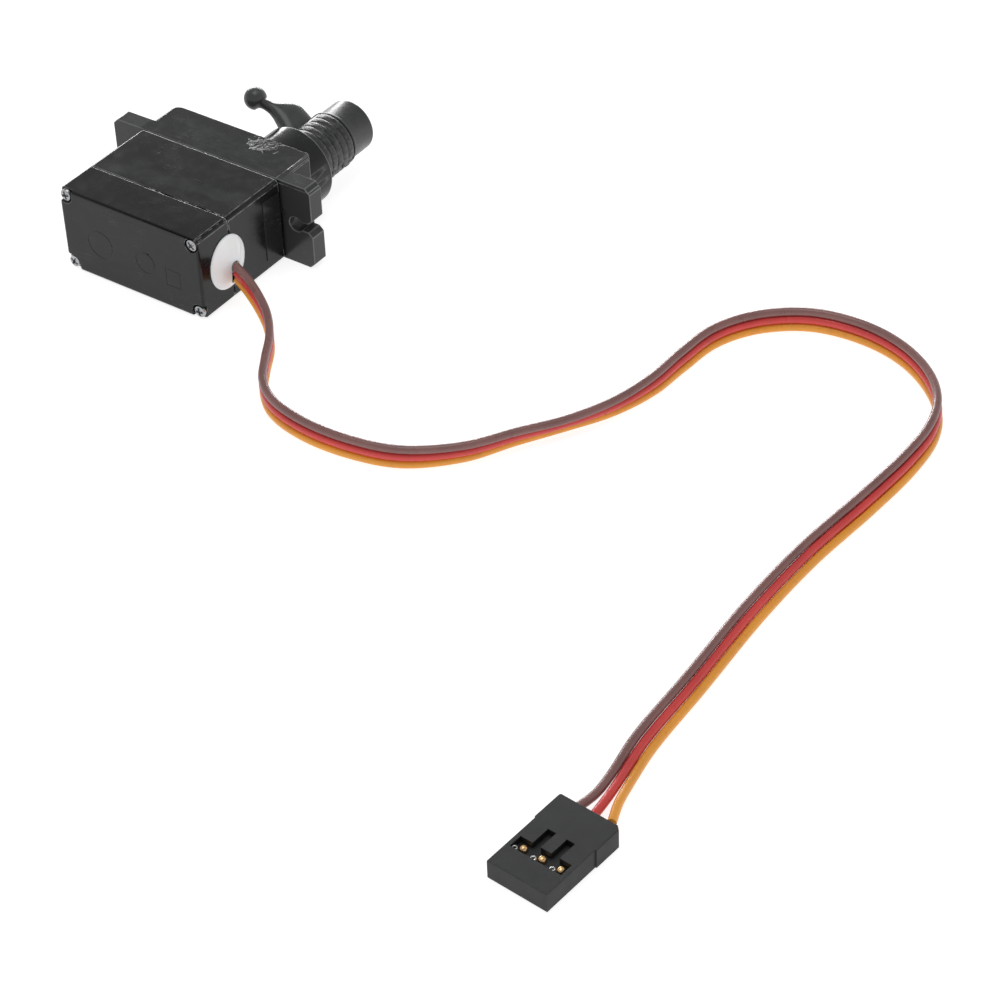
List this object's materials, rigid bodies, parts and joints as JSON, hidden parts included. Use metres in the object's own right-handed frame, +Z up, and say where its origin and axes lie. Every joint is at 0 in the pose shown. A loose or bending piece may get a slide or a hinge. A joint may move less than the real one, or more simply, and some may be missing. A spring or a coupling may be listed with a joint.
{
  "type": "servo motor",
  "caption": "Micro servo motor with flanged case, internal gear train, ring-spring servo saver horn with ball arm, and three-wire lead with plug.",
  "frame": {"origin": "centre of the servo's own footprint, without its lead, on the surface that it lies on", "axes": "+Y from the cover along the output shaft towards the horn, +X along the case towards the lead, +Z up"},
  "size_m": [0.1265, 0.1051, 0.0134],
  "materials": {
    "case_plastic": "smooth moulded",
    "horn_plastic": "satin, greasy near the rings",
    "ring_steel": "dark oxide",
    "screw_steel": "bright plated",
    "motor_steel": "satin plated",
    "white_nylon": "satin",
    "brass": "polished",
    "board_green": "lacquered",
    "chip_black": "matte",
    "wire_brown": "soft vinyl",
    "wire_red": "soft vinyl",
    "wire_orange": "soft vinyl",
    "plug_plastic": "satin moulded"
  },
  "bodies": {
    "case": {"bottom_cover": "case_plastic", "middle_case": "case_plastic", "top_case": "case_plastic", "case_screw_1": "screw_steel", "case_screw_2": "screw_steel", "case_screw_3": "screw_steel", "case_screw_4": "screw_steel", "grommet": "white_nylon", "motor_can": "motor_steel", "motor_end_cap": "white_nylon", "motor_terminal_1": "brass", "motor_terminal_2": "brass", "layshaft": "motor_steel", "output_bushing": "brass", "potentiometer_body": "chip_black", "potentiometer_pin_1": "brass", "potentiometer_pin_2": "brass", "potentiometer_pin_3": "brass", "circuit_board": "board_green", "controller_chip": "chip_black", "driver_chip_1": "chip_black", "driver_chip_2": "chip_black", "board_capacitor": "brass", "lead_brown": "wire_brown", "lead_red": "wire_red", "lead_orange": "wire_orange", "plug_housing": "plug_plastic", "plug_contact_1": "brass", "plug_contact_2": "brass", "plug_contact_3": "brass"},
    "rotor": {"rotor_shaft": "motor_steel", "motor_pinion": "brass"},
    "first_gear": {"gear_1": "white_nylon"},
    "second_gear": {"gear_2": "white_nylon"},
    "third_gear": {"gear_3": "white_nylon"},
    "output": {"output_gear": "white_nylon", "potentiometer_shaft": "white_nylon", "horn_hub": "horn_plastic", "saver_ring_1": "ring_steel", "saver_ring_2": "ring_steel", "saver_ring_3": "ring_steel", "saver_ring_4": "ring_steel", "saver_ring_5": "ring_steel", "horn_cap": "horn_plastic", "horn_screw": "screw_steel"},
    "arm": {"horn_arm": "horn_plastic"}
  },
  "joints": [
    {"name": "output_turn", "type": "hinge", "parent": "case", "child": "output", "pos_m": [0.00555, 0.0088, 0.0063], "axis": [0, 1, 0], "range_deg": [-45, 75]},
    {"name": "gear_3_spin", "type": "hinge", "parent": "case", "child": "third_gear", "pos_m": [0.0003, 0.001, 0.0063], "axis": [0, 1, 0], "range_deg": [-176, 106]},
    {"name": "gear_2_spin", "type": "hinge", "parent": "case", "child": "second_gear", "pos_m": [0.00555, -0.0004, 0.0063], "axis": [0, 1, 0], "range_deg": [-305, 508]},
    {"name": "gear_1_spin", "type": "hinge", "parent": "case", "child": "first_gear", "pos_m": [0.0003, -0.0018, 0.0063], "axis": [0, 1, 0], "range_deg": [-1620, 973]},
    {"name": "rotor_spin", "type": "hinge", "parent": "case", "child": "rotor", "pos_m": [-0.0052, -0.0024, 0.0063], "axis": [0, 1, 0], "range_deg": [-3310, 5510]},
    {"name": "arm_saver", "type": "hinge", "parent": "output", "child": "arm", "pos_m": [0.00555, 0.0128, 0.0063], "axis": [0, 1, 0], "range_deg": [-10, 10], "stiffness_Nm_per_rad": 0.01}
  ],
  "couplings": [
    {"joint": "gear_3_spin", "follows": "output_turn", "ratio": -2.3333},
    {"joint": "gear_2_spin", "follows": "output_turn", "ratio": 6.7407},
    {"joint": "gear_1_spin", "follows": "output_turn", "ratio": -21.57},
    {"joint": "rotor_spin", "follows": "output_turn", "ratio": 73.339}
  ]
}
